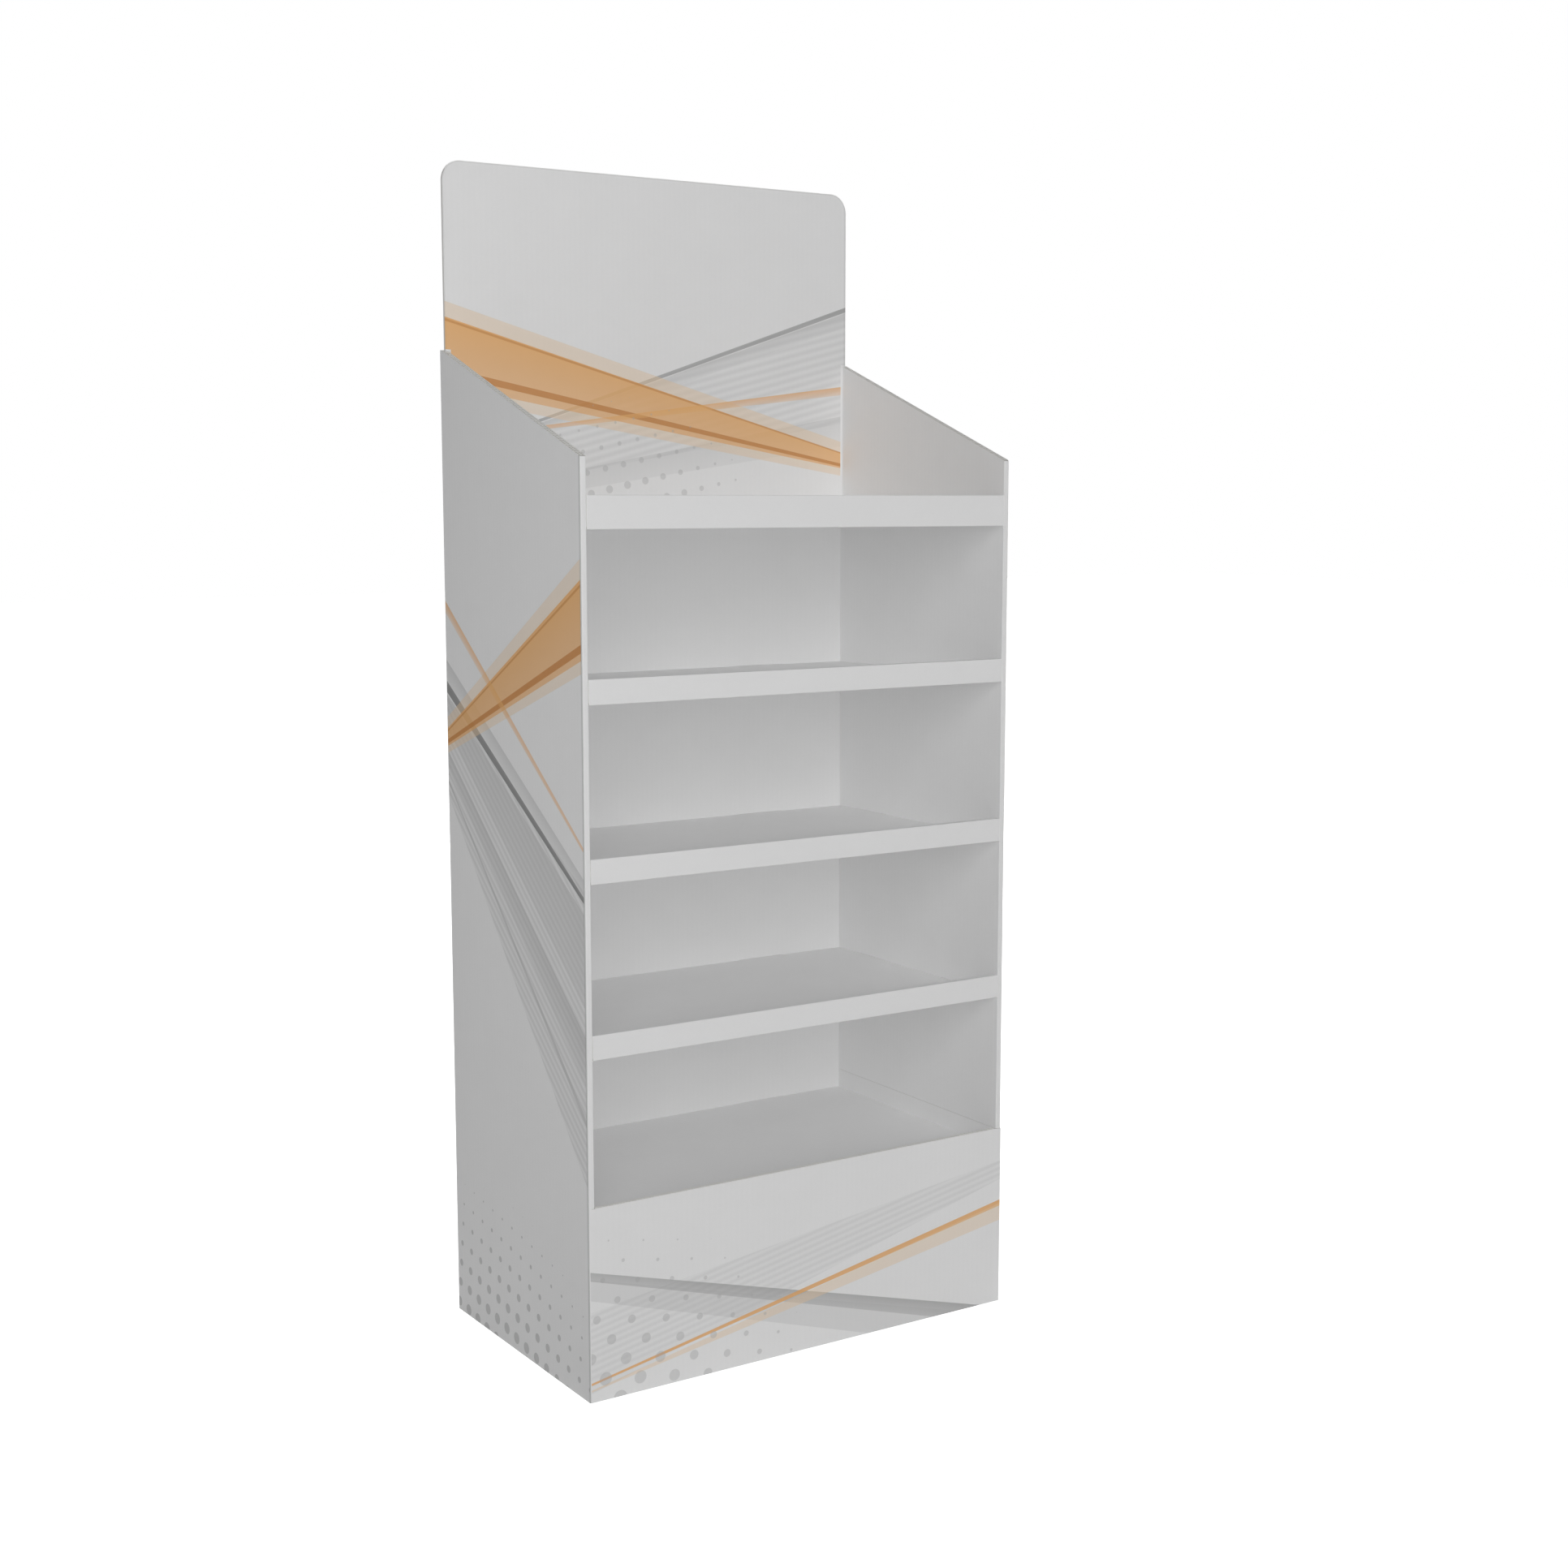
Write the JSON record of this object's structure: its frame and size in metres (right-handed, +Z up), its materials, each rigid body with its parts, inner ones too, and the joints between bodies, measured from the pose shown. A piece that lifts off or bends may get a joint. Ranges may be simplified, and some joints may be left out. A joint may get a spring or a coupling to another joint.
{
  "type": "cardboard display stand",
  "caption": "Free-standing corrugated board display: lipped shelves between double-walled sides with sloped tops, a tall printed header behind and a closed plinth.",
  "frame": {"origin": "on the floor, under the middle of the stand", "axes": "+Z up, the open front faces -Y, +X runs across the width"},
  "size_m": [0.6, 0.36, 1.441],
  "materials": {
    "printed_board": "white-faced corrugated board, matt, printed outside",
    "header_board": "white-faced corrugated board, matt, printed in front",
    "shelf_board": "white-faced corrugated board, matt, unprinted",
    "brown_board": "brown corrugated board, unprinted"
  },
  "bodies": {
    "root": {"body_wrap": "printed_board", "header_panel": "header_board", "shelf_top": "shelf_board", "shelf_upper": "shelf_board", "shelf_middle": "shelf_board", "shelf_lower": "shelf_board", "base_tray": "shelf_board", "base_rib_front": "brown_board", "base_rib_rear": "brown_board", "base_rib_left": "brown_board", "base_rib_middle": "brown_board", "base_rib_right": "brown_board"}
  },
  "joints": []
}
